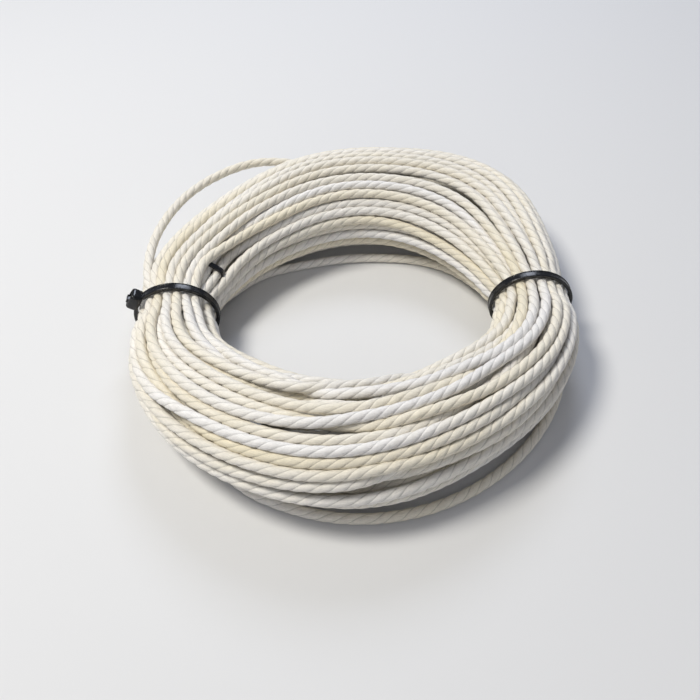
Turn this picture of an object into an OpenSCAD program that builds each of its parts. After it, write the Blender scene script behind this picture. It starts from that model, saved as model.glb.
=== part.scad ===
// A hank of three-ply waxed cord, wound in a ring and held by two cable ties.
// The ring lies on the XY plane, its centre on the Z axis.
// An angle on the ring counts from +X towards +Y. An angle round the bundle counts
// from its outer side up over its top. All sizes are in millimetres.

/* [Cord] */
// Diameter of the cord
cord_d = 3; // [2.6:0.1:3.2]
// Number of turns in the outer layer
loops = 20; // [16:2:20]
// Room left between two neighbouring turns
turn_gap = 0.6; // [0.55:0.05:0.8]

/* [Ring] */
// Radius of the ring at the middle of the bundle
ring_r = 54; // [50:1:65]
// Width of the bundle where it is tied
waist_w = 23; // [22.6:0.1:26]
// Height of the bundle where it is tied
waist_h = 20.4; // [20.2:0.1:24]
// Width of the bundle halfway between the ties
belly_w = 37; // [32:0.5:40]
// Height of the bundle halfway between the ties
belly_h = 30; // [28:0.5:36]
// Height of the tied bundle above the surface
waist_lift = 2.2; // [1.8:0.1:4]
// How far the lowest turns are pressed flat on the surface
floor_press = 0.5; // [0.3:0.1:0.8]
// Angle of the right tie on the ring, with the left tie opposite
tie_angle = 3; // [-10:1:10]

/* [Cable ties] */
// Width of the strap
strap_w = 2.5; // [2.2:0.1:3]
// Thickness of the strap
strap_t = 1.1; // [0.9:0.05:1.3]
// Width of each smooth rail beside the teeth
rail_w = 0.55; // [0.4:0.05:0.7]
// Length of one tooth
tooth_pitch = 0.8; // [0.7:0.05:1]
// Depth of the teeth
tooth_depth = 0.3; // [0.2:0.05:0.35]
// Gap between the strap and the cord
strap_gap = 0.25; // [0.2:0.05:0.4]
// Length of the head along the strap
head_l = 5.4; // [5.2:0.1:6.5]
// Width of the head across the strap
head_w = 4.6; // [4.4:0.1:5.5]
// Height of the head
head_h = 3.7; // [3.5:0.1:4.2]
// Length of the cut end of the strap that stands out of the head
stub_l = 0.4; // [0:0.1:1]
// Angle of the left tie's head round the bundle
left_head_angle = 30; // [15:1:40]
// Angle of the right tie's head round the bundle
right_head_angle = -38; // [-40:1:-20]

/* [Pawls] */
// Width of a pawl
pawl_w = 1.1; // [0.8:0.05:1.2]
// Thickness of a pawl
pawl_t = 0.6; // [0.5:0.05:0.7]
// Radius of a pawl's rounded root
pawl_root_r = 0.3; // [0.25:0.01:0.32]
// Running gap round a pawl
pawl_gap = 0.05; // [0.04:0.01:0.06]
// Room between a pawl's teeth and the strap's teeth above them
bite_gap = 0.08; // [0.06:0.01:0.1]

/* [End band] */
// Width of the band that holds the cord's end to its neighbours
band_w = 1.8; // [1.4:0.1:2.4]
// Thickness of the band
band_t = 0.6; // [0.4:0.05:0.7]
// Gap between the band and the cord
band_gap = 0.2; // [0.15:0.05:0.3]
// Angle of the band on the ring
band_angle = 166.5; // [165:0.5:168]

/* [Hidden] */

CORD_COLOUR = "#efe9dc";
TIE_COLOUR = "#16171a";
PAWL_COLOUR = "#2a2c31";

RINGS = 24;                      // cross-sections of the tube in one turn
SIDES = 6;                       // sides of the tube
STEP = 360 / RINGS;              // angle from one cross-section to the next
FLAT = cord_d / 10;              // how much of the cord is cut flat under the ring
LAP = 0.15;                      // how deep the outer turns bed into the inner ones
CORE_SIDES = 24;

// The outer layer starts in front, low on the inner side, where its ends are hidden.
FIRST_ANGLE = tie_angle - 90 + STEP / 2;
FIRST_ROUND = -135;
END_RINGS = 3;                   // cross-sections over which an end sinks into the bundle
LAST = loops * RINGS - 4;        // index of the last cross-section

// Turns that stand away from the bundle: [angle round the bundle and angle on the ring at
// the middle, half of the span on the ring, distance outwards, distance upwards]
LOOSE = [
  [25, 132, 44, 9, 0],           // high on the outer side, behind the left tie
  [-128, 95, 52, -7, -4],        // on the surface, inside the ring at the back
  [-48, 302, 42, 4, -5],         // on the surface, outside the ring in front
  [40, 52, 30, 4, 1]             // outer side at the back, near the right tie
];

// The end band lies round this turn and its two neighbours, which rise into it
BAND_ROUND = 140;
BAND_RISE = [-1.8, 1.8];
BAND_SPAN = 24;

// ---- The bundle -------------------------------------------------------------------

// Angle between a place on the ring and the nearer tie
function from_tie(a) =
  let (d = abs(((a - tie_angle) % 180 + 180) % 180))
  min(d, 180 - d);

// 0 along the straight stretch under a tie, rising to 1 halfway between the ties
function belly(a) =
  let (t = max(from_tie(a) - STEP / 2, 0) / (90 - STEP / 2))
  pow(sin(90 * t), 1.1);

function mix(low, high, share) = low + (high - low) * share;
function half_w(a) = mix(waist_w, belly_w, belly(a)) / 2 - cord_d / 2;
function half_h(a) = mix(waist_h, belly_h, belly(a)) / 2 - cord_d / 2;
function mid_z(a) = half_h(a) + cord_d / 2 + mix(waist_lift, -floor_press, belly(a));

// How far every second turn sinks between its neighbours, where they are crowded
function nested(reach) =
  sqrt(max(0, pow(cord_d + turn_gap, 2) - pow(reach * PI / 180 * 360 / loops, 2)));
function sunk(a) =
  let (reach = min(half_w(a), half_h(a)))
  nested(reach - nested(reach) / 2);

// ---- The outer turns --------------------------------------------------------------

function angle_of(i) = FIRST_ANGLE + i * STEP;
function round_of(i) = FIRST_ROUND + i * 360 / loops / RINGS;
function turn_of(i) = floor(i / RINGS);

// How far round the ring a place is from the start, and which even turn is there
function past_start(a) = ((a - FIRST_ANGLE) % 360 + 360) % 360;
function turn_at(t, a) = 2 * round((t - FIRST_ROUND) * loops / 720 - past_start(a) / 720);

// Raised stretches: [turn, angle on the ring at the middle, half of the span, rise]
BAND_TURN = turn_at(BAND_ROUND, band_angle) + 1;
BAND_TURNS = [BAND_TURN - 1, BAND_TURN, BAND_TURN + 1];
RAISED = concat(
  [for (r = LOOSE) [turn_at(r[0], r[1]), r[1], r[2], [r[3], r[4]]]],
  [for (t = BAND_TURNS) [t, band_angle - BAND_SPAN / 2, BAND_SPAN, BAND_RISE]]
);

// 1 at the tube's two ends, falling to 0 a few cross-sections away
function end_share(i) = max(1 - i / END_RINGS, 1 - (LAST - i) / END_RINGS, 0);

// Share of a raised stretch at cross-section i: 1 at its middle, 0 outside its span
function raised_share(i, r) =
  let (x = (i * STEP - 360 * r[0] - past_start(r[1])) / r[2])
  abs(x) < 1 ? (1 + cos(180 * x)) / 2 : 0;
function raised(i) = [for (r = RAISED) raised_share(i, r)] * [for (r = RAISED) r[3]];

// Centre of cross-section i as [distance from the Z axis, height]
function centre_of(i) =
  let (a = angle_of(i))
  let (in = (turn_of(i) % 2) * sunk(a) + end_share(i) * (cord_d + turn_gap))
  let (out = (half_w(a) - in) * cos(round_of(i)))
  let (up = (half_h(a) - in) * sin(round_of(i)))
  [ring_r + out + raised(i)[0], max(mid_z(a) + up + raised(i)[1], cord_d / 2 - FLAT)];
CENTRES = [for (i = [0:LAST]) centre_of(i)];

// Closed skin over rings of points that all have the same count
function skin(rings, count, loop) =
  let (n = len(rings))
  concat(
    [
      for (i = [0:loop ? n - 1 : n - 2])
        for (k = [0:count - 1])
          let (j = (i + 1) % n)
          let (l = (k + 1) % count)
          for (f = [
            [i * count + k, j * count + l, j * count + k],
            [i * count + k, i * count + l, j * count + l]
          ])
            f
    ],
    loop ? [] : [
      for (k = [1:count - 2]) [0, k + 1, k],
      for (k = [1:count - 2]) [(n - 1) * count, (n - 1) * count + k, (n - 1) * count + k + 1]
    ]
  );

// A point in the plane of a cross-section, as a point in space
function placed(a, p) = [p[0] * cos(a), p[0] * sin(a), p[1]];

function tube_ring(i) = [
  for (k = [0:SIDES - 1])
    placed(angle_of(i), CENTRES[i] + cord_d / 2 * [cos(360 * k / SIDES), sin(360 * k / SIDES)])
];

module outer_turns() {
  rings = [for (i = [0:LAST]) tube_ring(i)];
  color(CORD_COLOUR)
    difference() {
      polyhedron([for (r = rings) for (p = r) p], skin(rings, SIDES, false), convexity = 20);
      translate([0, 0, -cord_d])
        cube([4 * ring_r, 4 * ring_r, 2 * cord_d], center = true);
    }
}

// Smallest distance between the surfaces of two turns, and the length of the outer turns
function gap_at(i) = min([
  for (j = [i + RINGS - 1:min(i + 3 * RINGS + 1, LAST)])
    if (abs((j - i + RINGS / 2) % RINGS - RINGS / 2) <= 1)
      norm(placed(angle_of(i), CENTRES[i]) - placed(angle_of(j), CENTRES[j])) - cord_d
]);
LEAST_GAP = min([for (i = [0:LAST - RINGS]) gap_at(i)]);
OUTER_LENGTH = [
  for (i = [1:LAST])
    norm(placed(angle_of(i), CENTRES[i]) - placed(angle_of(i - 1), CENTRES[i - 1]))
] * [for (i = [1:LAST]) 1];
echo(least_gap_between_turns = LEAST_GAP, outer_turns_length = OUTER_LENGTH);

// ---- The inner turns --------------------------------------------------------------

// The hidden turns, as one solid that the outer layer lies on
function core_ring(a) =
  let (in = sunk(a) + cord_d / 2 - LAP)
  [
    for (k = [0:CORE_SIDES - 1])
      let (t = 360 * k / CORE_SIDES)
      placed(a, [
        ring_r + (half_w(a) - in) * cos(t),
        max(mid_z(a) + (half_h(a) - in) * sin(t), cord_d - FLAT - LAP)
      ])
  ];

module inner_turns() {
  rings = [for (i = [0:RINGS - 1]) core_ring(angle_of(i))];
  color(CORD_COLOUR)
    polyhedron([for (r = rings) for (p = r) p], skin(rings, CORE_SIDES, true), convexity = 6);
}

// ---- The end band -----------------------------------------------------------------

// Where a turn crosses a plane through the Z axis, as [distance from the axis, height]
function crossing(turn, a) =
  let (i = turn * RINGS + floor(past_start(a) / STEP))
  let (p = placed(angle_of(i), CENTRES[i]))
  let (along = placed(angle_of(i + 1), CENTRES[i + 1]) - p)
  let (across = [-sin(a), cos(a), 0])
  let (q = p - along * (p * across) / (along * across))
  [norm([q[0], q[1]]), q[2]];

module round_turns(extra) {
  hull()
    for (t = BAND_TURNS)
      translate(crossing(t, band_angle)) circle(r = cord_d / 2 + extra, $fn = 32);
}

module end_band() {
  color(TIE_COLOUR)
    rotate([0, 0, band_angle])
      rotate([90, 0, 0])
        linear_extrude(band_w, center = true)
          difference() {
            round_turns(band_gap + band_t);
            round_turns(band_gap);
          }
}

// ---- The cable ties ---------------------------------------------------------------

// The strap's inner face is an ellipse round the waist, seen along the bundle.
TIE_R = ring_r * cos(STEP / 2);
TIE_Z = mid_z(tie_angle);
LOOP_W = half_w(tie_angle) * cos(STEP / 2) + cord_d / 2 + strap_gap;
LOOP_H = half_h(tie_angle) + cord_d / 2 + strap_gap;
TOOTH_ANGLE = tooth_pitch / (LOOP_W + LOOP_H) * 2 * 180 / PI;

// The head's own frame: s runs along the strap, h outwards from the strap's inner face.
// The strap leaves the head at its low end of s, and comes back at its high end.
BEND_R = 0.45;                   // inner radius of the strap's bend up into the head
BEND_S = 1.3;                    // where the bend starts
SLOT_GAP = 0.1;                  // room round the strap in the head
FACE_S = BEND_S - BEND_R - strap_t;   // toothed face of the strap inside the head
BACK_S = BEND_S - BEND_R;             // smooth face of the strap inside the head
BEND_H = strap_t + BEND_R;            // height at which the strap runs straight out
HEAD_REACH = 1.5;                // how far the head reaches past the strap inside it
HEAD_WALL = 0.7;                 // thickness of the head behind the pawl
HEAD_HIGH_S = BACK_S + HEAD_REACH;    // the two ends of the head
HEAD_LOW_S = HEAD_HIGH_S - head_l;
CAVITY_S = HEAD_LOW_S + HEAD_WALL;    // back wall of the pawl's cavity
CAVITY_H = 0.85;                 // floor of the pawl's cavity
PIVOT_IN = 0.6;                  // how far the pawl's root lies from the toothed face
PIVOT = [FACE_S - PIVOT_IN, CAVITY_H];
TOOTH_RAKE = tooth_depth / 4;         // how far the steep side of a tooth leans
ROOT_LAP = 0.5;                  // how far the strap's root runs into the head
ROOT_TEETH = 9;                  // teeth left off at the root of the strap
CUT_PAST = 1;                    // how far a cut runs past the face that it leaves by
CORNER_R = 0.5;
ARC_POINTS = 8;

function on_loop(t, out) =
  let (n = [cos(t) / LOOP_W, sin(t) / LOOP_H])
  [LOOP_W * cos(t), LOOP_H * sin(t)] + out * n / norm(n);
function head_turn(t) = atan2(sin(t) / LOOP_H, cos(t) / LOOP_W) - 90;
function in_head(t, p) =
  let (c = head_turn(t))
  on_loop(t, 0) + [p[0] * cos(c) - p[1] * sin(c), p[0] * sin(c) + p[1] * cos(c)];
function arc(middle, r, start, turn) = [
  for (k = [0:ARC_POINTS])
    middle + r * [cos(start + turn * k / ARC_POINTS), sin(start + turn * k / ARC_POINTS)]
];
function bend_arc(r) = arc([BEND_S, BEND_H], r, -90, -90);

// Length of strap per degree of the loop at the head, and where the strap starts and ends
function strap_rate(t) = norm([LOOP_W * sin(t), LOOP_H * cos(t)]) * PI / 180;
function loop_start(t) = t - (HEAD_LOW_S + ROOT_LAP) / strap_rate(t);
function loop_end(t) = t + 360 - (BEND_S + BEND_R) / strap_rate(t);

// Height of the lower end of the strap's tooth k above the bend
function tooth_h(k) = BEND_H + k * tooth_pitch;
TAIL_TEETH = floor((head_h + stub_l - BEND_H) / tooth_pitch);
TAIL_H = head_h + stub_l;
PAWL_TEETH = 2;

// The strap as seen along the bundle, with its inner face cut back by the given depth,
// and saw teeth left standing on it where they are asked for
module strap_outline(t, cut, teeth) {
  first = loop_start(t);
  last = loop_end(t);
  count = floor((last - first) / TOOTH_ANGLE);
  pitch = (last - first) / count;
  inner = [
    for (k = [0:count - 1])
      for (e = [0, 1])
        on_loop(first + (k + e) * pitch, teeth && k >= ROOT_TEETH ? e * cut : cut)
  ];
  bend = [for (p = bend_arc(BEND_R + strap_t - cut)) in_head(t, p)];
  tail = [
    for (k = [0:TAIL_TEETH - 1])
      for (e = [0, 1])
        let (rake = teeth ? (1 - e) * TOOTH_RAKE : 0)
        in_head(t, [FACE_S + (teeth ? e : 1) * cut, tooth_h(k + e) + rake])
  ];
  top = [in_head(t, [FACE_S + cut, TAIL_H]), in_head(t, [BACK_S, TAIL_H])];
  back = [for (k = [ARC_POINTS:-1:0]) in_head(t, bend_arc(BEND_R)[k])];
  outer = [for (k = [2 * count:-1:0]) on_loop(first + k * pitch / 2, strap_t)];
  polygon(concat(inner, bend, tail, top, back, outer));
}

module strap(t) {
  channel_w = strap_w - 2 * rail_w;
  linear_extrude(channel_w, center = true) strap_outline(t, tooth_depth, true);
  for (side = [-1, 1])
    translate([0, 0, side * (channel_w + rail_w) / 2])
      linear_extrude(rail_w, center = true) strap_outline(t, 0, false);
}

module head_outline() {
  top = head_h - CORNER_R;
  polygon(concat(
    [[HEAD_LOW_S, 0], [HEAD_HIGH_S, 0]],
    arc([HEAD_HIGH_S - CORNER_R, top], CORNER_R, 0, 90),
    arc([HEAD_LOW_S + CORNER_R, top], CORNER_R, 90, 90)
  ));
}

// What the head leaves free in its middle: the strap's way in and up, and the pawl's cavity
module head_hollow() {
  translate([FACE_S - SLOT_GAP, -CUT_PAST])
    square([HEAD_HIGH_S - FACE_S + CUT_PAST, strap_t + CUT_PAST + SLOT_GAP]);
  translate([FACE_S - SLOT_GAP, 0])
    square([strap_t + 2 * SLOT_GAP, head_h + CUT_PAST]);
  difference() {
    translate([BACK_S, strap_t]) square(BEND_R);
    translate([BEND_S, BEND_H]) circle(r = BEND_R - SLOT_GAP, $fn = 24);
  }
  translate([CAVITY_S, CAVITY_H])
    square([FACE_S - CAVITY_S, head_h]);
  translate(PIVOT) circle(r = pawl_root_r + pawl_gap, $fn = 32);
}

module head(t) {
  slot_w = strap_w + 2 * SLOT_GAP;
  wall_w = (head_w - slot_w) / 2;
  translate(on_loop(t, 0))
    rotate(head_turn(t)) {
      linear_extrude(slot_w, center = true)
        difference() {
          head_outline();
          head_hollow();
        }
      for (side = [-1, 1])
        translate([0, 0, side * (slot_w + wall_w) / 2])
          linear_extrude(wall_w, center = true) head_outline();
    }
}

// The pawl leans on the strap: its teeth lie under the strap's, a running gap away
module pawl_outline() {
  face = FACE_S - pawl_gap;
  reach = tooth_depth - pawl_gap;
  tips = [for (k = [1:PAWL_TEETH]) tooth_h(k) - bite_gap];
  back_h = tips[PAWL_TEETH - 1] + TOOTH_RAKE;
  translate(PIVOT) circle(r = pawl_root_r, $fn = 32);
  polygon(concat(
    [PIVOT - [pawl_root_r, 0], PIVOT + [pawl_root_r, 0]],
    [for (h = tips) for (p = [[0, -tooth_pitch / 2], [reach, 0], [0, TOOTH_RAKE]]) [face, h] + p],
    [[face - pawl_t, back_h]]
  ));
}

module on_waist(a) {
  rotate([0, 0, a])
    translate([TIE_R, 0, TIE_Z])
      rotate([90, 0, 0])
        children();
}

module tie(a, t) {
  color(TIE_COLOUR)
    on_waist(a) {
      strap(t);
      head(t);
    }
}

module pawl(a, t) {
  color(PAWL_COLOUR)
    on_waist(a)
      translate(on_loop(t, 0))
        rotate(head_turn(t))
          linear_extrude(pawl_w, center = true) pawl_outline();
}

module left_tie() { tie(tie_angle + 180, left_head_angle); }
module left_tie_pawl() { pawl(tie_angle + 180, left_head_angle); }
module right_tie() { tie(tie_angle, right_head_angle); }
module right_tie_pawl() { pawl(tie_angle, right_head_angle); }

inner_turns();
outer_turns();
end_band();
left_tie();
left_tie_pawl();
right_tie();
right_tie_pawl();
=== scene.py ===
"""A ring-shaped hank of waxed three-ply cord, held by two cable ties and a small band.

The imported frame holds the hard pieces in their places. The two pawls are shown as they come
from it, and every other piece is made here to the frame's sizes. Lengths in this file are
millimetres until the moment they become Blender metres, and an angle on the ring counts
from +X towards +Y. A point in the bundle's cross-section is (out, up): its distance from
the ring's mean circle, outwards, and its height above the floor.
"""
import math

import bmesh
import bpy
import numpy as np
from mathutils import Euler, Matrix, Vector


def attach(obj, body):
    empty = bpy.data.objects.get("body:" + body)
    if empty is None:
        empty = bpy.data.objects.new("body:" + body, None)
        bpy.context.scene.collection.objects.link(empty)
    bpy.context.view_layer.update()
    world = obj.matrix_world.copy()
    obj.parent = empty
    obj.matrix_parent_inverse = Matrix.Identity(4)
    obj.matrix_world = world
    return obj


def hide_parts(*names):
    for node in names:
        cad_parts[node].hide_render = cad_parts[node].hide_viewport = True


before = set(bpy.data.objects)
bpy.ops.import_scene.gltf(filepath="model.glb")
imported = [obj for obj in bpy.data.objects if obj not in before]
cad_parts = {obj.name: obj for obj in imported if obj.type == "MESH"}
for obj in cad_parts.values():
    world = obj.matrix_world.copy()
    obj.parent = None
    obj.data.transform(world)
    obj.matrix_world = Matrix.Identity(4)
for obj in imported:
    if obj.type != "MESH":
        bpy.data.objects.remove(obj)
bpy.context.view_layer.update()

MM = 0.001
TINY = 1e-9                         # keeps a division by a length safe
CORD = "cord"                       # the body that the winding rides on

# ---- Sizes of the hank ----------------------------------------------------------------

CORD_D = 3.0
LAY_LENGTH = 12.4                   # one full twist of the three plies
RING_R = 54.0
TIE_ANGLE = 3.0                     # the right tie; the left one is opposite
TIE_STRETCH = 5.0                   # degrees beside a tie where the bundle runs straight
BITE = 0.085                        # how far a strap sinks in, as a share of the half size
BITE_FROM, BITE_TO = 4.5, 11.5      # degrees beside a tie over which the turns rise again
TURNS = 46
SECTIONS = 96                       # cross-sections in one turn of the winding
START_ANGLE = 101.25                # where the cord starts, inside the bundle
SECTION_STEP = 360.0 / SECTIONS

# How far the middles of the turns reach in a cross-section: inwards, outwards, down and
# up. Between the ties the bundle grows towards the free reach, given by ring angle.
TIED_REACH = (-11.36, 10.46, 2.8, 22.0)
FREE_REACH = (
    {15: -21.0, 75: -17.5, 110: -19.5, 140: -22.0, 160: -22.0, 175: -24.0, 192: -4.0,
     215: -17.8, 300: -17.5, 325: -19.5, 348: -11.0},
    {0: 15.0, 22: 20.0, 40: 36.5, 54: 34.5, 68: 24.0, 80: 19.5, 100: 17.5, 120: 14.0,
     138: 8.5, 165: 10.0, 190: 24.0, 215: 18.5, 235: 16.0, 255: 16.5, 273: 15.5, 300: 9.5,
     335: 10.0},
    {93: 1.5, 273: 1.5},
    {48: 28.5, 93: 28.4, 138: 27.0, 228: 28.4, 318: 28.4},
)
REACH_SPREAD = 15.0                 # degrees each way over which the free reach is evened,
REACH_SAMPLES = 9                   # and the angles that are looked at for it

# The waist's plane lies square to the ring at a tie: its middle, and the strap's inner
# face as a half width and half height
WAIST_R, WAIST_Z = 53.538, 12.4
LOOP_W, LOOP_H = 11.6644, 10.45


# ---- Camera ---------------------------------------------------------------------------

CAMERA_PLACE = (-1.58, -171.79, 173.61)
CAMERA_PITCH = 43.7                 # degrees up from looking straight down
SENSOR_W, LENS = 36.0, 39.86


def in_scene(name, data):
    """A new object with the given data, linked to the scene."""
    thing = bpy.data.objects.new(name, data)
    bpy.context.scene.collection.objects.link(thing)
    return thing


def add_camera():
    """The viewpoint: above and in front of the ring, looking down at its middle."""
    data = bpy.data.cameras.new("view")
    data.sensor_fit = "HORIZONTAL"
    data.sensor_width = SENSOR_W
    data.lens = LENS
    camera = in_scene("view", data)
    camera.location = Vector(CAMERA_PLACE) * MM
    camera.rotation_euler = Euler((math.radians(CAMERA_PITCH), 0.0, 0.0))
    bpy.context.scene.camera = camera


# ---- The winding ----------------------------------------------------------------------

# Layers of the bundle, from the outside in: how many turns lie in each, and how far out
# they lie under a tie and halfway between the ties, as shares of the bundle's half size
LAYERS = [(20, 1.0, 1.0), (14, 0.72, 0.86), (8, 0.42, 0.75), (4, 0.13, 0.4)]
SWAPS = (0.6, 0.5, 0.3, 0.0)        # how often two neighbours in a layer changed places

# Stretches that were wound loosely and stand away, as [ring angle, out, up] along each
LOOSE = [
    [(177, 7.9, 17.8), (170, 10.6, 18.5), (160, 14.4, 19), (150, 17.4, 19), (140, 21.2, 19),
     (129, 23.9, 19), (119, 22.6, 19.8)],
    [(150, -10.5, 2.5), (137, -12.8, 1.5), (119, -17.3, 1.5), (98, -18, 1.5),
     (76, -16.4, 1.5), (53, -11.2, 1.5), (38, -8.6, 2)],
    [(248, 10.8, 1.5), (264, 12.8, 1.5), (285, 12.7, 1.5), (308, 11, 1.5), (335, 9.8, 2.5)],
]
LOOSE_BLEND = 22.0                  # degrees over which such a stretch joins the bundle
LOOSE_SPREAD = 9.0                  # degrees each way over which its places are evened,
LOOSE_SAMPLES = 7                   # and the angles that are looked at for it
TAKEN_FROM = 0.01                   # a point that's held this firmly is taken,
FREE_BELOW = 0.05                   # and one that's held less firmly than this is free

WINDING_SEED = 7
CROSS_FROM = (0.12, 0.27)           # the share of a turn at which it leaves its place
CROSS_OVER = (0.38, 0.46)           # and the share that it takes to reach the next one
WANDER_AROUND = 16.0                # degrees that a turn strays round the bundle,
WANDER_OUT = 0.05                   # and in and out, as a share of the half size
WANDER_BEHIND = 0.2                 # share of the straying round that the back shows
WAVES, WAVE_RATES = 6, (0.17, 0.73)  # waves in such a stray line, and their rates per turn
GROW = 0.7                          # how soon the layers take their free places
RANK_STEP = 0.1                     # how much the later turns lie on top of the earlier

ROUNDS = 240                        # rounds in which the turns push each other apart
PUSHES = 2                          # pushes in each round
LATE = 0.8                          # share of the rounds after which it's late
EARLY_PASSES, LATE_PASSES = 3, 2    # smoothing passes in an early and in a late round
TIED_GAP, FREE_GAP = 0.96, 0.98     # closest that two turns come, in cord diameters
SWELL_OUT = 0.04                    # push that keeps the belly full,
HOLLOW = 0.45                       # outside this share of the half size
SLACK_PULL, FIRM_PULL = 0.02, 0.4   # pull towards a point's own place
BEND_LIMIT = 0.22                   # mm that a turn may bend from straight in one section
BEND_EASE = 0.2                     # share of the rest that one pass takes away
STIFF_PASSES = 4
CURVE_STEPS = 8                     # points between two sections of the smooth line

# The turns that the small band holds, where it crosses them, and the room that it needs
BAND_ANGLE = 166.5
BANDED = np.array([(-7.5, 18.95), (-10.3, 17.4)])
BAND_HELD = 3.0                     # degrees each way over which they keep that place
BAND_SPAN = 26.0                    # and over which they come from their own
BAND_W, BAND_T, BAND_GAP, BAND_PLAY = 1.8, 0.6, 0.2, 0.05
BAND_ROOM = CORD_D + BAND_GAP + BAND_T + BAND_PLAY


def ease(share):
    """A smooth step from 0 to 1."""
    share = np.clip(share, 0.0, 1.0)
    return share * share * (3.0 - 2.0 * share)


def mix(low, high, share):
    """The value at a share of the way from low to high."""
    return low + (high - low) * share


def turned_by(angle, other):
    """Signed degrees from the other angle, in the shorter direction."""
    return (angle - other + 180.0) % 360.0 - 180.0


def from_tie(angle):
    """Degrees along the ring to the nearer tie."""
    away = np.abs((angle - TIE_ANGLE) % 180.0)
    return np.minimum(away, 180.0 - away)


def belly(angle):
    """0 at a tie, 1 halfway between the ties."""
    share = np.maximum(from_tie(angle) - TIE_STRETCH, 0.0) / (90.0 - TIE_STRETCH)
    return np.sin(np.radians(90.0 * share))


def round_about(angle, spread, samples):
    """Rows of angles, evenly spaced from below the given ones to above them."""
    return np.asarray(angle)[None] + np.linspace(-spread, spread, samples)[:, None]


def bundle_at(angle):
    """Middle and half size of the bundle at angles on the ring, each as [out, up]."""
    near = round_about(angle, REACH_SPREAD, REACH_SAMPLES)
    free = [np.interp(near, list(side), list(side.values()), period=360.0).mean(0)
            for side in FREE_REACH]
    inner, outer, low, high = [mix(tied, wide, belly(angle))
                               for tied, wide in zip(TIED_REACH, free)]
    middle = np.stack([(inner + outer) / 2, (low + high) / 2], -1)
    half = np.stack([(outer - inner) / 2, (high - low) / 2], -1)
    return middle, half


def wander(rng, turns_along, size):
    """Slow, smooth noise along the cord, a few waves of random length and place."""
    waves = zip(rng.uniform(*WAVE_RATES, WAVES), rng.uniform(0.0, 1.0, WAVES))
    total = sum(np.sin(2 * math.pi * (rate * turns_along + start)) for rate, start in waves)
    return size * total / math.sqrt(WAVES / 2)


def winding_homes(rng):
    """The place of each turn in the bundle, in the order in which the turns were wound."""
    layers = []
    last = rng.uniform(0.0, 360.0)
    for count, tied, free in reversed(LAYERS):
        around = last + 360.0 / count * np.arange(1, count + 1)
        layers.insert(0, [(tied, free, a) for a in around])
        last = around[count // 2 - 1]
    for layer, swaps in zip(layers, SWAPS):
        for n in range(len(layer) - 1):
            if rng.random() < swaps:
                layer[n], layer[n + 1] = layer[n + 1], layer[n]
    outer, second, third, middle = layers
    order = middle[:2] + third[:4] + second[:7] + outer + second[7:] + third[4:] + middle[2:]
    homes = np.array(order)
    homes[:, 2] = np.degrees(np.unwrap(np.radians(homes[:, 2])))
    return homes


def nearest_turn(angle, place, taken, ring_angle, aim):
    """Index of the point at a ring angle that lies nearest to the aim and isn't taken."""
    here = np.abs(turned_by(angle, ring_angle)) <= SECTION_STEP / 2
    away = np.hypot(*(place - aim).T)
    return int(np.argmin(np.where(here & (taken < TAKEN_FROM), away, np.inf)))


def bundled_places(rng, angle):
    """Each point's place in the bundle on its own, and how high its turn ranks."""
    index = np.arange(TURNS * SECTIONS)
    turn = index // SECTIONS
    after = np.minimum(turn + 1, TURNS - 1)
    homes = winding_homes(rng)
    cross_from = rng.uniform(*CROSS_FROM, TURNS)
    cross_over = rng.uniform(*CROSS_OVER, TURNS)
    share = ease(((index % SECTIONS) / SECTIONS - cross_from[turn]) / cross_over[turn])
    tied, free, around = mix(homes[turn], homes[after], share[:, None]).T
    loose_share = belly(angle)
    middle, half = bundle_at(angle)
    along = index / SECTIONS
    in_front = (1.0 - np.sin(np.radians(angle))) / 2
    stray = wander(rng, along, WANDER_AROUND) * loose_share
    around = around + stray * mix(WANDER_BEHIND, 1.0, in_front)
    stray = wander(rng, along, WANDER_OUT) * loose_share
    reach = mix(tied, free, loose_share ** GROW) * (1.0 + stray)
    turned = np.radians(around)
    spoke = np.stack([np.cos(turned), np.sin(turned)], 1)
    place = middle + np.minimum(reach, 1.0)[:, None] * half * spoke
    return place, free + RANK_STEP * along / TURNS


def winding_target(rng):
    """Where each point of the cord would lie if the turns took no room, and how firmly."""
    count = TURNS * SECTIONS
    angle = START_ANGLE + np.arange(count) * SECTION_STEP
    place, rank = bundled_places(rng, angle)
    firm = np.zeros(count)
    for stretch in LOOSE:
        aims = np.array(sorted(stretch))
        centre = aims[len(aims) // 2]
        at = nearest_turn(angle, place, firm, centre[0], centre[1:])
        here = angle - angle[at] + centre[0]
        weight = (ease((here - aims[0, 0]) / LOOSE_BLEND + 1)
                  * ease((aims[-1, 0] - here) / LOOSE_BLEND + 1))
        near = round_about(here, LOOSE_SPREAD, LOOSE_SAMPLES)
        aim = np.stack([np.interp(near, aims[:, 0], aims[:, k]).mean(0) for k in (1, 2)], 1)
        place = mix(place, aim, weight[:, None])
        firm = np.maximum(firm, weight)
    banded = []
    for aim in BANDED:
        at = nearest_turn(angle, place, firm, BAND_ANGLE, aim)
        away = np.abs(angle - angle[at] + turned_by(angle[at], BAND_ANGLE))
        weight = ease((BAND_SPAN - away) / (BAND_SPAN - BAND_HELD))
        place = mix(place, aim, weight[:, None])
        firm = np.maximum(firm, weight)
        banded.append(at // SECTIONS)
    return angle, place, firm, rank, banded


def clear_of_band(cut):
    """Moves points in a cross-section out of the room that the small band takes."""
    for start, end in zip(BANDED, np.roll(BANDED, -1, axis=0)):
        along = end - start
        share = np.clip((cut - start) @ along / (along @ along), 0.0, 1.0)
        away = cut - start - share[..., None] * along
        gap = np.linalg.norm(away, axis=-1, keepdims=True) + TINY
        cut = cut + away / gap * np.maximum(BAND_ROOM - gap, 0.0)
    return cut


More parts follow.
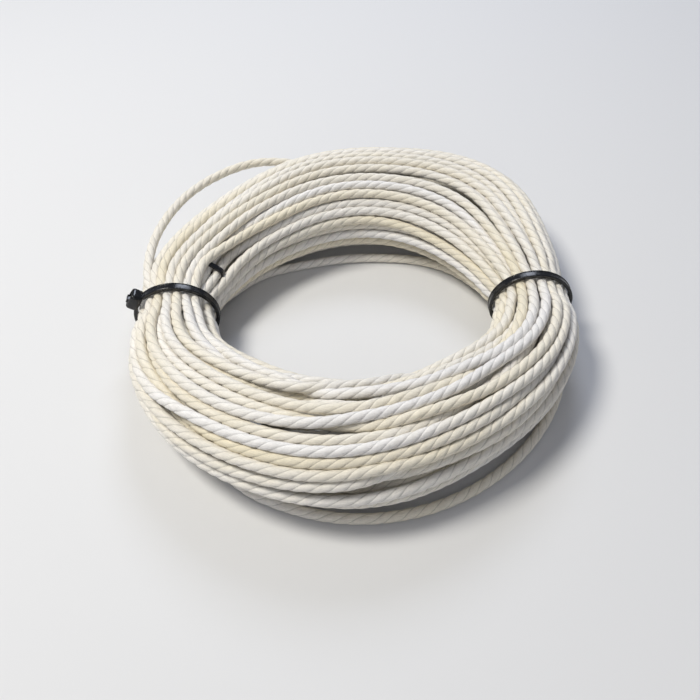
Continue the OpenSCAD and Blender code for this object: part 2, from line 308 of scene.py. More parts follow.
def pushed_apart(cut, apart, over, middle, half):
    """Turns in each cross-section moved off each other, the higher ranks outwards."""
    same = np.arange(TURNS)
    between = cut[:, :, None] - cut[:, None]
    gap = np.sqrt((between ** 2).sum(-1)) + TINY
    lap = np.maximum(apart - gap, 0.0)
    lap[:, same, same] = 0.0
    rise = (cut - middle) / half
    rise /= np.linalg.norm(rise, axis=-1, keepdims=True) + TINY
    between = between + (lap * over)[..., None] * (rise[:, :, None] + rise[:, None])
    between /= np.linalg.norm(between, axis=-1, keepdims=True) + TINY
    push = (between * lap[..., None]).sum(2) * 0.5
    touching = np.maximum((lap > 0).sum(2), 1) ** 0.5
    return cut + push / touching[..., None]


def settle(angle, target, firm, rank, banded):
    """Let the turns push each other apart, until they lie against each other."""
    place = target.copy()
    ring = angle[:SECTIONS]
    middle, half = bundle_at(angle)
    ring_middle, ring_half = [part[:SECTIONS, None] for part in (middle, half)]
    tied = from_tie(angle) < TIE_STRETCH
    apart = np.where(tied[:SECTIONS], TIED_GAP, FREE_GAP)[:, None, None] * CORD_D
    beside_band = np.ix_(np.abs(turned_by(ring, BAND_ANGLE)) < BAND_HELD,
                         ~np.isin(np.arange(TURNS), banded))
    held = ((np.abs(turned_by(angle, BAND_ANGLE)) < BAND_HELD)
            & np.isin(np.arange(len(angle)) // SECTIONS, banded))
    level = rank.reshape(TURNS, SECTIONS).T
    over = np.sign(level[:, :, None] - level[:, None])
    swell = SWELL_OUT * belly(angle) * (firm < FREE_BELOW)
    pull = np.maximum(SLACK_PULL, FIRM_PULL * firm)
    for step in range(ROUNDS):
        pushed = place - target
        for _ in range(EARLY_PASSES if step < LATE * ROUNDS else LATE_PASSES):
            pushed[1:-1] += 0.5 * ((pushed[:-2] + pushed[2:]) / 2 - pushed[1:-1])
        place = target + pushed
        place += pull[:, None] * (target - place)
        outward = (place - middle) / half
        away = np.linalg.norm(outward, axis=1)
        place += (swell * (away > HOLLOW))[:, None] * (outward / np.maximum(away, TINY)[:, None])
        for _ in range(PUSHES):
            cut = place.reshape(TURNS, SECTIONS, 2).transpose(1, 0, 2)
            cut = pushed_apart(cut, apart, over, ring_middle, ring_half)
            cut[beside_band] = clear_of_band(cut[beside_band])
            place = cut.transpose(1, 0, 2).reshape(-1, 2)
        away = np.linalg.norm((place - middle) / half, axis=1)
        outside = (tied | (firm < FREE_BELOW)) & (away > 1.0)
        squeeze = np.where(outside, 1.0 / np.maximum(away, TINY), 1.0)
        place = middle + (place - middle) * squeeze[:, None]
        for _ in range(STIFF_PASSES):
            place = straighten(place)
        place[:, 1] = np.maximum(place[:, 1], CORD_D / 2)
        place[held] = target[held]
    return place


def straighten(place):
    """Eases every bend that's sharper than the cord's stiffness lets it be."""
    bend = place[:-2] + place[2:] - 2 * place[1:-1]
    size = np.linalg.norm(bend, axis=1, keepdims=True) + TINY
    shift = BEND_EASE * bend * np.maximum(1.0 - BEND_LIMIT / size, 0.0)
    place = place.copy()
    place[1:-1] += shift
    place[:-2] -= 0.5 * shift
    place[2:] -= 0.5 * shift
    return place


def run_along(line):
    """Distance along a line to each of its points."""
    return np.concatenate([[0.0], np.cumsum(np.linalg.norm(np.diff(line, axis=0), axis=1))])


def smooth_line(points, spacing):
    """Points at an even spacing along a smooth curve through the given ones."""
    padded = np.vstack([2 * points[0] - points[1], points, 2 * points[-1] - points[-2]])
    before, start, end, after = padded[:-3], padded[1:-2], padded[2:-1], padded[3:]
    fine = []
    for share in np.arange(CURVE_STEPS) / CURVE_STEPS:
        a = -0.5 * share ** 3 + share ** 2 - 0.5 * share
        b = 1.5 * share ** 3 - 2.5 * share ** 2 + 1.0
        c = -1.5 * share ** 3 + 2.0 * share ** 2 + 0.5 * share
        d = 0.5 * share ** 3 - 0.5 * share ** 2
        fine.append(a * before + b * start + c * end + d * after)
    line = np.vstack([np.stack(fine, 1).reshape(-1, 3), points[-1:]])
    run = run_along(line)
    even = np.linspace(0.0, run[-1], int(round(run[-1] / spacing)) + 1)
    return np.stack([np.interp(even, run, line[:, k]) for k in range(3)], 1), run[-1]


def cord_route():
    """Centre line of the whole cord, in millimetres, and its length."""
    rng = np.random.default_rng(WINDING_SEED)
    angle, target, firm, rank, banded = winding_target(rng)
    place = settle(angle, target, firm, rank, banded)
    turned = np.radians(angle)
    radius = RING_R + place[:, 0]
    points = np.stack([radius * np.cos(turned), radius * np.sin(turned), place[:, 1]], 1)
    line, length = smooth_line(points, CORD_RING_SPACING)
    return bitten(line), length


def bitten(line):
    """The cord's line, drawn in towards the bundle's middle where a strap sinks in."""
    angle = np.degrees(np.arctan2(line[:, 1], line[:, 0]))
    radius = np.hypot(line[:, 0], line[:, 1])
    place = np.stack([radius - RING_R, line[:, 2]], 1)
    middle, _ = bundle_at(angle)
    drawn = BITE * ease((BITE_TO - from_tie(angle)) / (BITE_TO - BITE_FROM))
    place = mix(place, middle, drawn[:, None])
    radius = (RING_R + place[:, 0]) / radius
    return np.stack([line[:, 0] * radius, line[:, 1] * radius, place[:, 1]], 1)


# ---- Node helpers ---------------------------------------------------------------------

def new_tree(name, inputs):
    """A geometry tree with the given named inputs, and the sockets that they come in by."""
    tree = bpy.data.node_groups.new(name, "GeometryNodeTree")
    tree.is_modifier = True
    for label, kind in [("Geometry", "NodeSocketGeometry")] + inputs:
        tree.interface.new_socket(label, in_out="INPUT", socket_type=kind)
    tree.interface.new_socket("Geometry", in_out="OUTPUT", socket_type="NodeSocketGeometry")
    return tree, tree.nodes.new("NodeGroupInput").outputs


def add(tree, kind, settings=None, **links):
    """A node whose inputs take a socket or a value each.

    An input goes by its name, with underscores for spaces, or by its place: i0, i1, i2.
    """
    node = tree.nodes.new(kind)
    for key, value in (settings or {}).items():
        setattr(node, key, value)
    for key, value in links.items():
        wanted = key.replace("_", " ").lower()
        found = [s for s in node.inputs if s.enabled and s.name.lower() == wanted]
        socket = found[0] if found else node.inputs[int(key[1:])]
        if isinstance(value, bpy.types.NodeSocket):
            tree.links.new(value, socket)
        else:
            socket.default_value = value
    return node


def reckon(tree, operation, *values):
    """What a Math node makes of sockets or numbers."""
    inputs = {f"i{n}": value for n, value in enumerate(values)}
    return add(tree, "ShaderNodeMath", {"operation": operation}, **inputs).outputs[0]


def shape_of(tree, thing):
    """The geometry of another object."""
    return add(tree, "GeometryNodeObjectInfo", Object=thing).outputs["Geometry"]


def end_tree(tree, geometry, material):
    """Ends a tree with real geometry in one material."""
    real = add(tree, "GeometryNodeRealizeInstances", Geometry=geometry)
    dressed = add(tree, "GeometryNodeSetMaterial", Geometry=real.outputs[0], Material=material)
    tree.links.new(dressed.outputs[0], tree.nodes.new("NodeGroupOutput").inputs[0])


def run_tree(tree, source, name, values):
    """The mesh that the tree makes of the source object, as a new object at the origin."""
    modifier = source.modifiers.new("make", "NODES")
    modifier.node_group = tree
    for item in tree.interface.items_tree:
        if item.item_type == "SOCKET" and item.in_out == "INPUT" and item.name in values:
            modifier[item.identifier] = values[item.name]
    mesh = finished_mesh(source)
    mesh.name = name
    bpy.data.objects.remove(source, do_unlink=True)
    return in_scene(name, mesh)


def finished_mesh(thing):
    """A plain mesh of an object with all its modifiers run."""
    bpy.context.view_layer.update()
    shaped = thing.evaluated_get(bpy.context.evaluated_depsgraph_get())
    return bpy.data.meshes.new_from_object(shaped)


def line_object(name, lines, cyclic=False):
    """A curve object with a straight-sided spline through each line, in millimetres."""
    data = bpy.data.curves.new(name, "CURVE")
    data.dimensions = "3D"
    for points in lines:
        spline = data.splines.new("POLY")
        spline.points.add(len(points) - 1)
        places = np.column_stack([np.asarray(points) * MM, np.ones(len(points))])
        spline.points.foreach_set("co", places.ravel())
        spline.use_cyclic_u = cyclic
    return in_scene(name, data)


def outline_object(name, points):
    """A closed outline in the plane z = 0, for a tree to sweep."""
    return line_object(name, [[(x, y, 0.0) for x, y in points]], cyclic=True)


# ---- The cord -------------------------------------------------------------------------

CORD_PIECES = 5                     # so that none has too many faces
CORD_RING_SPACING = 0.8             # from one ring of corners to the next along the cord
PLIES = 3
GROOVE_DEPTH = 0.155                # of the cord's radius
PLY_ROUNDNESS = 2.5                 # 2 is a plain round ply, more is flatter
PLY_STEPS = (0.0, 0.42, 0.72, 0.91, 1.0)  # across half a ply, closer near the groove
SWELLS_PER_M = 90.0                 # how often the cord grows thicker and thinner,
SWELL = 0.10                        # by what share of its radius,
LAY_SLACK = 1.6                     # and how far its twist is out there, in radians


def ply_outline():
    """Cross-section of the twisted cord: round plies with a sharp groove between them."""
    across = [-s for s in reversed(PLY_STEPS[1:])] + list(PLY_STEPS[:-1])
    points = []
    for ply in range(PLIES):
        for s in across:
            turned = 2 * math.pi / PLIES * (ply + s / 2)
            radius = CORD_D / 2 * (1 - GROOVE_DEPTH * abs(s) ** PLY_ROUNDNESS)
            points.append((radius * math.cos(turned), radius * math.sin(turned)))
    return points


def cord_tree(outline):
    """Sweeps the cord's cross-section along a line, twisting it with the lay."""
    tree, given = new_tree("twisted_cord", [
        ("Start Length", "NodeSocketFloat"),
        ("Lay Length", "NodeSocketFloat"),
        ("Material", "NodeSocketMaterial"),
    ])
    along = add(tree, "GeometryNodeSplineParameter").outputs["Length"]
    total = reckon(tree, "ADD", along, given["Start Length"])
    turns = reckon(tree, "DIVIDE", total, given["Lay Length"])
    uneven = add(tree, "ShaderNodeTexNoise", {"noise_dimensions": "1D"},
                 W=total, Scale=SWELLS_PER_M, Detail=2.0).outputs["Fac"]
    slack = reckon(tree, "MULTIPLY", uneven, LAY_SLACK)
    tilt = reckon(tree, "MULTIPLY_ADD", turns, -2 * math.pi, slack)
    swell = reckon(tree, "MULTIPLY_ADD", uneven, SWELL, 1.0 - SWELL / 2)
    sized = add(tree, "GeometryNodeSetCurveRadius", Curve=given["Geometry"], Radius=swell)
    tilted = add(tree, "GeometryNodeSetCurveTilt", Curve=sized.outputs[0], Tilt=tilt)
    marked = add(tree, "GeometryNodeCaptureAttribute", {"domain": "POINT"},
                 Geometry=tilted.outputs[0])
    marked.capture_items.new("FLOAT", "Run")
    tree.links.new(total, marked.inputs["Run"])
    section = add(tree, "GeometryNodeObjectInfo", {"transform_space": "ORIGINAL"},
                  Object=outline)
    placed = add(tree, "GeometryNodeCaptureAttribute", {"domain": "POINT"},
                 Geometry=section.outputs["Geometry"])
    placed.capture_items.new("VECTOR", "Across")
    tree.links.new(add(tree, "GeometryNodeInputPosition").outputs[0], placed.inputs["Across"])
    swept = add(tree, "GeometryNodeCurveToMesh", Curve=marked.outputs["Geometry"],
                Profile_Curve=placed.outputs["Geometry"], Fill_Caps=True)
    across = add(tree, "ShaderNodeSeparateXYZ", Vector=placed.outputs["Across"]).outputs
    space = add(tree, "ShaderNodeCombineXYZ", X=across[0], Y=across[1], Z=marked.outputs["Run"])
    stored = add(tree, "GeometryNodeStoreNamedAttribute",
                 {"data_type": "FLOAT_VECTOR", "domain": "POINT"},
                 Geometry=swept.outputs[0], Name="cord_space", Value=space.outputs[0])
    smooth = add(tree, "GeometryNodeSetShadeSmooth", Geometry=stored.outputs[0],
                 Shade_Smooth=True)
    end_tree(tree, smooth.outputs[0], given["Material"])
    return tree


def add_cord(material):
    """The whole cord, in a few pieces that join end to end inside the winding."""
    route, length = cord_route()
    outline = outline_object("ply_outline", ply_outline())
    tree = cord_tree(outline)
    count = len(route) - 1
    cuts = [round(count * n / CORD_PIECES) for n in range(CORD_PIECES + 1)]
    for n in range(CORD_PIECES):
        part = route[cuts[n]:cuts[n + 1] + 1]
        piece = run_tree(tree, line_object("cord_line", [part]), f"cord_stretch_{n + 1}", {
            "Start Length": length * cuts[n] / count * MM,
            "Lay Length": LAY_LENGTH * MM,
            "Material": material,
        })
        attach(piece, CORD)
        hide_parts("inner_turns", "outer_turns")
    bpy.data.objects.remove(outline, do_unlink=True)


# ---- The cable ties and the band ------------------------------------------------------

# The head's own axes: s along the strap, h outwards from the strap's inner face
LEFT_HEAD_ANGLE, RIGHT_HEAD_ANGLE = 30.0, -38.0    # where the heads sit round the bundle
STRAP_W, STRAP_T = 2.5, 1.1
RAIL_W = 0.55                       # smooth rail on each side of the teeth
TOOTH_PITCH, TOOTH_DEPTH = 0.8, 0.3
RIM_W, RIM_H = 0.5, 0.16            # raised rims along the edges of the outer face
FOOT_R, LIP_R, FLOOR_R = 0.12, 0.06, 0.05  # corners of the section: inner edges, channel,
BACK_R, RIM_R = 0.25, 0.08                 # outer edges, and the rims
BAND_INNER_R, BAND_OUTER_R = 0.1, 0.2      # and those of the small band
HEAD_LOW, HEAD_HIGH = -3.05, 2.35   # the head's ends along the strap
HEAD_W, HEAD_H = 4.6, 3.7
HEAD_ROUND, EDGE_ROUND = 1.05, 0.1
SLOT_GAP = 0.1
BEND_S, BEND_H, BEND_R = 1.3, 1.55, 0.45   # where the strap turns up in the head
FACE_S = BEND_S - BEND_R - STRAP_T  # toothed face of the strap inside the head
BACK_S = BEND_S - BEND_R
STUB = 0.4                          # how far the cut end of the strap stands out
TAIL_H = HEAD_H + STUB
HEAD_WALL = 0.7
CAVITY_S, CAVITY_H = HEAD_LOW + HEAD_WALL, 0.85    # where the pawl's cavity begins
CUT_PAST = 1.0                      # how far a cut runs out past the head
ROOT_LAP = 0.5                      # how far the strap's root runs into the head
SMOOTH_ROOT = 7.2                   # length of strap without teeth at its root
TAIL_TEETH = 3
LOOP_POINTS, BEND_POINTS, BAND_POINTS = 160, 10, 12  # round a strap, its bend, and a turn
CORNER_STEPS = 4                    # sides of one rounded corner
CREASE, CUT_EDGE = 35.0, 50.0       # degrees from which an edge stays sharp, or is rounded


def on_loop(around, out):
    """A point on the strap's loop, or a distance out from it, in the waist's plane."""
    turned = math.radians(around)
    point = np.array([LOOP_W * math.cos(turned), LOOP_H * math.sin(turned)])
    normal = np.array([math.cos(turned) / LOOP_W, math.sin(turned) / LOOP_H])
    return point + out * normal / np.linalg.norm(normal)


def head_axes(around):
    """The head's own axes in the waist's plane: along the strap, and outwards."""
    turned = math.radians(around)
    outward = np.array([math.cos(turned) / LOOP_W, math.sin(turned) / LOOP_H])
    outward /= np.linalg.norm(outward)
    return np.array([outward[1], -outward[0]]), outward


def in_head(around, s, h):
    """A point given by the head's own axes, in the waist's plane."""
    along, outward = head_axes(around)
    return on_loop(around, 0.0) + s * along + h * outward


def in_space(ring_angle, points, across=0.0, middle=(WAIST_R, WAIST_Z)):
    """Points [out, up] in a plane square to the ring, as points in space."""
    turned = math.radians(ring_angle)
    out, up = np.asarray(points, float).T
    radius = middle[0] + out
    return np.stack([radius * math.cos(turned) + across * math.sin(turned),
                     radius * math.sin(turned) - across * math.cos(turned),
                     middle[1] + up], 1)


def square_to_ring(ring_angle):
    """The direction across a strap that lies round the bundle."""
    turned = math.radians(ring_angle)
    return (math.sin(turned), -math.cos(turned), 0.0)


def rounded(points, radii):
    """An outline with each corner rounded, the corners given in turn with their radii."""
    points = np.array(points, float)
    outline = []
    for n, radius in enumerate(radii):
        corner = points[n]
        before = points[n - 1] - corner
        after = points[(n + 1) % len(points)] - corner
        before /= np.linalg.norm(before)
        after /= np.linalg.norm(after)
        half = math.acos(max(-1.0, min(1.0, float(before @ after)))) / 2
        start = corner + before * radius / math.tan(half)
        end = corner + after * radius / math.tan(half)
        inward = (before + after) / np.linalg.norm(before + after)
        centre = corner + inward * radius / math.sin(half)
        for share in np.linspace(0.0, 1.0, CORNER_STEPS + 1):
            spoke = mix(start - centre, end - centre, share)
            outline.append(centre + spoke / np.linalg.norm(spoke) * radius)
    return outline


def strap_section():
    """The strap's cross-section [across, out]: a toothed channel within, a dished back."""
    side, channel = STRAP_W / 2, STRAP_W / 2 - RAIL_W
    rim, low = side - RIM_W, STRAP_T - RIM_H
    left = [(-side, 0), (-channel, 0), (-channel, TOOTH_DEPTH)]
    right = [(channel, TOOTH_DEPTH), (channel, 0), (side, 0)]
    back = [(side, STRAP_T), (rim + RIM_H, STRAP_T), (rim, low),
            (-rim, low), (-rim - RIM_H, STRAP_T), (-side, STRAP_T)]
    return rounded(left + right + back, [
        FOOT_R, LIP_R, FLOOR_R, FLOOR_R, LIP_R, FOOT_R,
        BACK_R, RIM_R, RIM_R, RIM_R, RIM_R, BACK_R])


def band_section():
    """The band's cross-section [across, out]: flat, and rounder on the outside."""
    side = BAND_W / 2
    corners = [(-side, 0), (side, 0), (side, BAND_T), (-side, BAND_T)]
    return rounded(corners, [BAND_INNER_R, BAND_INNER_R, BAND_OUTER_R, BAND_OUTER_R])


def faced(tree, curve, given):
    """A curve whose section stands with its width along the Across input."""
    return add(tree, "GeometryNodeSetCurveNormal", {"mode": "FREE"},
               Curve=curve, Normal=given["Across"]).outputs[0]


def flat_sweep(tree, given, section):
    """The line that comes in, swept with a section."""
    return add(tree, "GeometryNodeCurveToMesh", Curve=faced(tree, given["Geometry"], given),
               Profile_Curve=shape_of(tree, section), Fill_Caps=True).outputs[0]


def strap_tree(section, tooth):
    """Sweeps a section along a line, and sets a row of teeth along each other line."""
    tree, given = new_tree("strap", [
        ("Across", "NodeSocketVector"),
        ("Tooth Pitch", "NodeSocketFloat"),
        ("Tooth Lines", "NodeSocketObject"),
        ("Material", "NodeSocketMaterial"),
    ])
    places = add(tree, "GeometryNodeCurveToPoints", {"mode": "LENGTH"},
                 Curve=faced(tree, shape_of(tree, given["Tooth Lines"]), given),
                 Length=given["Tooth Pitch"]).outputs
    turned = add(tree, "FunctionNodeAxesToRotation",
                 {"primary_axis": "Z", "secondary_axis": "X"},
                 Primary_Axis=places["Tangent"], Secondary_Axis=places["Normal"])
    teeth = add(tree, "GeometryNodeInstanceOnPoints", Points=places["Points"],
                Instance=shape_of(tree, tooth), Rotation=turned.outputs[0])
    joined = tree.nodes.new("GeometryNodeJoinGeometry")
    tree.links.new(teeth.outputs[0], joined.inputs[0])
    tree.links.new(flat_sweep(tree, given, section), joined.inputs[0])
    end_tree(tree, joined.outputs[0], given["Material"])
    return tree


def band_tree(section):
    """Sweeps a section along a closed line."""
    tree, given = new_tree("band", [
        ("Across", "NodeSocketVector"),
        ("Material", "NodeSocketMaterial"),
    ])
    end_tree(tree, flat_sweep(tree, given, section), given["Material"])
    return tree


def smooth_but_creased(piece):
    """Smooth shading, but sharp where faces meet at more than the crease angle."""
    piece.data.shade_smooth()
    piece.data.set_sharp_from_angle(angle=math.radians(CREASE))


def tooth_object():
    """One saw tooth: x across, y towards the strap's back, z along the strap."""
    side, depth, long = (STRAP_W / 2 - RAIL_W) * MM, TOOTH_DEPTH * MM, TOOTH_PITCH * MM
    points = [(x, y, z) for x in (-side, side) for y, z in ((0, 0), (depth, 0), (depth, long))]
    faces = [(0, 1, 2), (3, 5, 4), (0, 3, 4, 1), (1, 4, 5, 2), (0, 2, 5, 3)]
    mesh = bpy.data.meshes.new("tooth")
    mesh.from_pydata(points, [], faces)
    return in_scene("tooth", mesh)


def strap_lines(head_angle):
    """The strap's inner face seen along the bundle, and the lines that its teeth follow."""
    at = math.radians(head_angle)
    rate = math.hypot(LOOP_W * math.sin(at), LOOP_H * math.cos(at)) * math.radians(1)
    first = head_angle - (HEAD_LOW + ROOT_LAP) / rate
    last = head_angle + 360.0 - (BEND_S + BEND_R) / rate
    loop = [on_loop(a, 0.0) for a in np.linspace(first, last, LOOP_POINTS)]
    reach = BEND_R + STRAP_T
    bend = [in_head(head_angle, BEND_S - reach * math.sin(t), BEND_H - reach * math.cos(t))
            for t in np.linspace(0.0, math.pi / 2, BEND_POINTS)]
    tail = [in_head(head_angle, FACE_S, TAIL_H)]
    toothed = [point for point, run in zip(loop, run_along(loop)) if run > SMOOTH_ROOT]
    tail_teeth = [in_head(head_angle, FACE_S, BEND_H + TOOTH_PITCH * k)
                  for k in (0, TAIL_TEETH - 1)]
    return loop + bend + tail, [toothed, tail_teeth]


def box_object(name, low, high):
    """A box from one corner to the other, in the head's own frame."""
    mesh = bpy.data.meshes.new(name)
    shape = bmesh.new()
    bmesh.ops.create_cube(shape, size=1.0)
    for vertex in shape.verts:
        vertex.co = [mix(a, b, c + 0.5) * MM for a, b, c in zip(low, high, vertex.co)]
    shape.to_mesh(mesh)
    shape.free()
    return in_scene(name, mesh)


def head_shape(material):
    """The head in its own frame: a rounded block with the slot and the pawl's cavity cut."""
    slot = STRAP_W / 2 + SLOT_GAP
    face, back, top = FACE_S - SLOT_GAP, BACK_S + SLOT_GAP, HEAD_H + CUT_PAST
    head = box_object("head_shape", (HEAD_LOW, 0.0, -HEAD_W / 2), (HEAD_HIGH, HEAD_H, HEAD_W / 2))
    cuts = [
        box_object("way_in", (face, -CUT_PAST, -slot),
                   (HEAD_HIGH + CUT_PAST, STRAP_T + SLOT_GAP, slot)),
        box_object("way_up", (face, -CUT_PAST, -slot), (back, top, slot)),
        box_object("pawl_room", (CAVITY_S, CAVITY_H, -slot), (FACE_S, top, slot)),
    ]
    corners = head.modifiers.new("corners", "BEVEL")
    corners.width = HEAD_ROUND * MM
    corners.segments = 5
    for cut in cuts:
        gone = head.modifiers.new("cut", "BOOLEAN")
        gone.operation = "DIFFERENCE"
        gone.solver = "EXACT"
        gone.object = cut
    edges = head.modifiers.new("edges", "BEVEL")
    edges.width = EDGE_ROUND * MM
    edges.segments = 2
    edges.limit_method = "ANGLE"
    edges.angle_limit = math.radians(CUT_EDGE)
    mesh = finished_mesh(head)
    for piece in [head] + cuts:
        bpy.data.objects.remove(piece, do_unlink=True)
    mesh.materials.clear()
    mesh.materials.append(material)
    return mesh


def set_head(name, ring_angle, head_angle, mesh):
    """A copy of the head in its place on the strap, as an object at the origin."""
    head = in_scene(name, mesh.copy())
    along, outward = head_axes(head_angle)
    own = np.empty(len(head.data.vertices) * 3)
    head.data.vertices.foreach_get("co", own)
    s, h, across = own.reshape(-1, 3).T / MM
    flat = on_loop(head_angle, 0.0) + s[:, None] * along + h[:, None] * outward
    placed = in_space(ring_angle, flat, across) * MM
    head.data.vertices.foreach_set("co", placed.ravel())
    head.data.update()
    return head


def add_tie(side, ring_angle, head_angle, tree, head_mesh, material):
    """One cable tie: its strap with the teeth, its head, and the material on its pawl."""
    line, tooth_lines = strap_lines(head_angle)
    rows = line_object("tooth_lines", [in_space(ring_angle, points) for points in tooth_lines])
    line = line_object("strap_line", [in_space(ring_angle, line)])
    strap = run_tree(tree, line, f"{side}_tie_strap", {
        "Across": square_to_ring(ring_angle),
        "Tooth Pitch": TOOTH_PITCH * MM,
        "Tooth Lines": rows,
        "Material": material,
    })
    bpy.data.objects.remove(rows, do_unlink=True)
    head = set_head(f"{side}_tie_head", ring_angle, head_angle, head_mesh)
    for piece in (strap, head):
        smooth_but_creased(piece)
        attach(piece, f"{side}_tie")
        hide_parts(f"{side}_tie")
    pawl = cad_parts[f"{side}_tie_pawl"]
    pawl.data.materials.clear()
    pawl.data.materials.append(material)


def band_line():
    """Once round the band's turns, along the band's inner face, in the band's plane."""
    middle = BANDED.mean(0)
    order = sorted(BANDED, key=lambda p: math.atan2(*(p - middle)[::-1]))
    reach = CORD_D / 2 + BAND_GAP
    line = []
    for n, here in enumerate(order):
        before, after = order[n - 1], order[(n + 1) % len(order)]
        start = math.atan2(*(here - before)[::-1]) - math.pi / 2
        end = math.atan2(*(after - here)[::-1]) - math.pi / 2
        end = start + (end - start) % (2 * math.pi)
        for turned in np.linspace(start, end, BAND_POINTS):
            line.append(here + reach * np.array([math.cos(turned), math.sin(turned)]))
    return line


def add_ties(material):
    """Both cable ties."""
    tooth = tooth_object()
    section = outline_object("strap_section", strap_section())
    tree = strap_tree(section, tooth)
    head_mesh = head_shape(material)
    add_tie("left", TIE_ANGLE + 180.0, LEFT_HEAD_ANGLE, tree, head_mesh, material)
    add_tie("right", TIE_ANGLE, RIGHT_HEAD_ANGLE, tree, head_mesh, material)
    bpy.data.objects.remove(section, do_unlink=True)
    bpy.data.objects.remove(tooth, do_unlink=True)


def add_band(material):
    """The small band, round two turns."""
    section = outline_object("band_section", band_section())
    points = in_space(BAND_ANGLE, band_line(), middle=(RING_R, 0.0))
    line = line_object("band_line", [points], cyclic=True)
    band = run_tree(band_tree(section), line, "end_band_loop", {
        "Across": square_to_ring(BAND_ANGLE),
        "Material": material,
    })
    bpy.data.objects.remove(section, do_unlink=True)
    smooth_but_creased(band)
    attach(band, CORD)
    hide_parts("end_band")


# ---- Materials ------------------------------------------------------------------------

FIBRE_TWIST = -1.0                  # turns of the fibres against the plies, in one lay
CREAM, WHITE = (0.85, 0.77, 0.58), (0.87, 0.85, 0.825)
CREAM_AT, WHITE_AT = 0.32, 0.62     # where the drift of the tint reaches either
TINT_DRIFT = (16.0, 16.0, 5.5)      # rates per metre: across the cord twice, and along it
FIBRES = (6500.0, 6500.0, 380.0)    # the same for its fibres
FLECKS = 700.0                      # and for the flecks of wax, in every direction
GROOVE_SHADE = 0.72                 # brightness of the shade painted at the bottom of a groove, which ends at this share of the groove's depth
GROOVE_BANK = 0.6                   # this share of the groove's depth
STREAK_SHADE, STREAK_LIGHT = 0.86, 1.04    # brightness of the fibres
FLECK_SHADE = 0.9                   # brightness of a fleck
FIBRE_BUMP, GRAIN_BUMP = 0.00014, 0.00003
BLACK, RUBBED = (0.0045, 0.0045, 0.0055), (0.016, 0.016, 0.018)
BLACK_AT, RUBBED_AT = 0.42, 0.75    # where the nylon's wear reaches either
GLOSSY, DULL = 0.16, 0.42           # roughness of the nylon, fresh and rubbed
FLOOR_GREY = 0.70


def new_material(name):
    """A material, its tree and its shader."""
    material = bpy.data.materials.new(name)
    material.use_nodes = True
    tree = material.node_tree
    return material, tree, tree.nodes["Principled BSDF"]


def noise(tree, where, **settings):
    """Noise at a place, from 0 to 1."""
    return add(tree, "ShaderNodeTexNoise", Vector=where, **settings).outputs["Fac"]


def stretched(tree, where, rates):
    """A place in the cord, counted at its own rate in each direction."""
    return add(tree, "ShaderNodeMapping", Vector=where, Scale=rates).outputs[0]


def ranged(tree, value, start, end, low, high, kind="LINEAR"):
    """A value whose range from start to end becomes one from low to high."""
    return add(tree, "ShaderNodeMapRange", {"interpolation_type": kind}, Value=value,
               From_Min=start, From_Max=end, To_Min=low, To_Max=high).outputs["Result"]


def tinted(tree, value, start, first, end, last):
    """A colour that goes from the first to the last as the value goes from start to end."""
    ramp = add(tree, "ShaderNodeValToRGB", Fac=value)
    for element, place, colour in zip(ramp.color_ramp.elements, (start, end), (first, last)):
        element.position = place
        element.color = (*colour, 1.0)
    return ramp.outputs["Color"]


def set_bump(tree, shader, height, strength, distance):
    """Makes the shader's surface rise and fall with a height."""
    bump = add(tree, "ShaderNodeBump", Strength=strength, Distance=distance, Height=height)
    tree.links.new(bump.outputs["Normal"], shader.inputs["Normal"])


def waxed_cord():
    """Off-white twisted cord: fibres along the plies, a drifting tint, shade painted into the
    grooves.
    """
    material, tree, shader = new_material("waxed_cord")
    place = add(tree, "ShaderNodeAttribute", {"attribute_name": "cord_space"}).outputs["Vector"]
    drift = noise(tree, stretched(tree, place, TINT_DRIFT), Scale=1.0, Detail=3.0)
    tint = tinted(tree, drift, CREAM_AT, CREAM, WHITE_AT, WHITE)

    along = add(tree, "ShaderNodeSeparateXYZ", Vector=place).outputs["Z"]
    twist = reckon(tree, "MULTIPLY", along, FIBRE_TWIST * 2 * math.pi / (LAY_LENGTH * MM))
    unwound = add(tree, "ShaderNodeVectorRotate", {"rotation_type": "Z_AXIS"},
                  Vector=place, Angle=twist)
    fibre = noise(tree, stretched(tree, unwound.outputs[0], FIBRES),
                  Scale=1.0, Detail=3.0, Roughness=0.6)

    flat = add(tree, "ShaderNodeVectorMath", {"operation": "MULTIPLY"},
               i0=place, i1=(1.0, 1.0, 0.0))
    reach = add(tree, "ShaderNodeVectorMath", {"operation": "LENGTH"}, Vector=flat.outputs[0])
    bottom, bank = [CORD_D / 2 * (1 - share * GROOVE_DEPTH) * MM
                    for share in (1.0, GROOVE_BANK)]
    # painted shade: the cord's colour darkens towards the bottom of each groove
    groove = ranged(tree, reach.outputs["Value"], bottom, bank, GROOVE_SHADE, 1.0, "SMOOTHSTEP")
    streak = ranged(tree, fibre, 0.3, 0.7, STREAK_SHADE, STREAK_LIGHT)
    fleck = noise(tree, place, Scale=FLECKS, Detail=4.0, Roughness=0.65)
    waxed = ranged(tree, fleck, 0.3, 0.6, FLECK_SHADE, 1.0)
    # the painted groove shade, times the tone of the fibres and the wax flecks
    shade = reckon(tree, "MULTIPLY", groove, reckon(tree, "MULTIPLY", waxed, streak))
    coloured = add(tree, "ShaderNodeVectorMath", {"operation": "SCALE"}, Vector=tint, Scale=shade)
    tree.links.new(coloured.outputs[0], shader.inputs["Base Color"])

    set_bump(tree, shader, fibre, 0.7, FIBRE_BUMP)
    shader.inputs["Roughness"].default_value = 0.55
    shader.inputs["Specular IOR Level"].default_value = 0.4
    shader.inputs["Sheen Weight"].default_value = 0.1
    return material


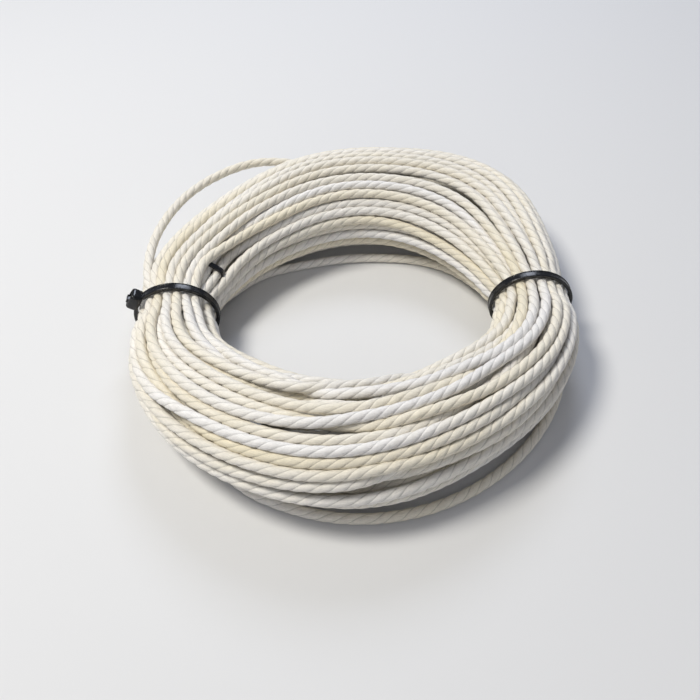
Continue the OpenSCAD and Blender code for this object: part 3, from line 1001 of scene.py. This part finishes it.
def black_nylon():
    """Glossy moulded nylon, with a faint grain, rubbed duller and greyer in patches."""
    material, tree, shader = new_material("black_nylon")
    where = tree.nodes.new("ShaderNodeTexCoord").outputs["Object"]
    grain = noise(tree, where, Scale=1600.0, Detail=3.0)
    rub = noise(tree, where, Scale=260.0, Detail=5.0, Roughness=0.7)
    dull = ranged(tree, rub, 0.4, 0.7, GLOSSY, DULL)
    tone = tinted(tree, rub, BLACK_AT, BLACK, RUBBED_AT, RUBBED)
    tree.links.new(dull, shader.inputs["Roughness"])
    tree.links.new(tone, shader.inputs["Base Color"])
    set_bump(tree, shader, grain, 0.25, GRAIN_BUMP)
    shader.inputs["Specular IOR Level"].default_value = 0.5
    return material


def pale_floor():
    """Plain matt grey."""
    material, _, shader = new_material("pale_floor")
    shader.inputs["Base Color"].default_value = (FLOOR_GREY, FLOOR_GREY, FLOOR_GREY, 1.0)
    shader.inputs["Roughness"].default_value = 0.9
    return material


# ---- Stage ----------------------------------------------------------------------------

FLOOR_REACH = 3.0                   # metres from the middle to each side of the floor
LAMPS = (                           # name, place in metres, size, power in watts, tint
    ("key", (-0.40, -0.02, 0.72), 0.26, 5.4, (1.0, 0.97, 0.90)),
    ("back", (0.05, 0.62, 0.62), 0.34, 2.4, (0.80, 0.86, 1.0)),
    ("fill", (0.0, -0.75, 0.45), 0.5, 0.7, (1.0, 0.97, 0.92)),
)
AIM = Vector((0, 0, 0.01))          # the point that the lamps face
SKY, SKY_STRENGTH = (0.80, 0.85, 1.0, 1.0), 0.25


def add_floor():
    """A wide, plain floor for the hank to lie on."""
    mesh = bpy.data.meshes.new("floor")
    corners = [(x * FLOOR_REACH, y * FLOOR_REACH, 0)
               for x, y in ((-1, -1), (1, -1), (1, 1), (-1, 1))]
    mesh.from_pydata(corners, [], [(0, 1, 2, 3)])
    mesh.materials.append(pale_floor())
    in_scene("floor", mesh)


def add_light():
    """A dim, cool sky and three soft lamps."""
    world = bpy.data.worlds.new("studio")
    world.use_nodes = True
    background = world.node_tree.nodes["Background"]
    background.inputs["Color"].default_value = SKY
    background.inputs["Strength"].default_value = SKY_STRENGTH
    bpy.context.scene.world = world
    for name, place, size, power, tint in LAMPS:
        data = bpy.data.lights.new(name, "AREA")
        data.shape = "DISK"
        data.size = size
        data.energy = power
        data.color = tint
        lamp = in_scene(name, data)
        lamp.location = place
        lamp.rotation_euler = (AIM - Vector(place)).to_track_quat("-Z", "Y").to_euler()


# ---- Making it ------------------------------------------------------------------------

add_camera()
cord_material = waxed_cord()
nylon = black_nylon()
add_cord(cord_material)
add_ties(nylon)
add_band(nylon)
add_floor()
add_light()
bpy.context.scene.view_settings.view_transform = "Standard"
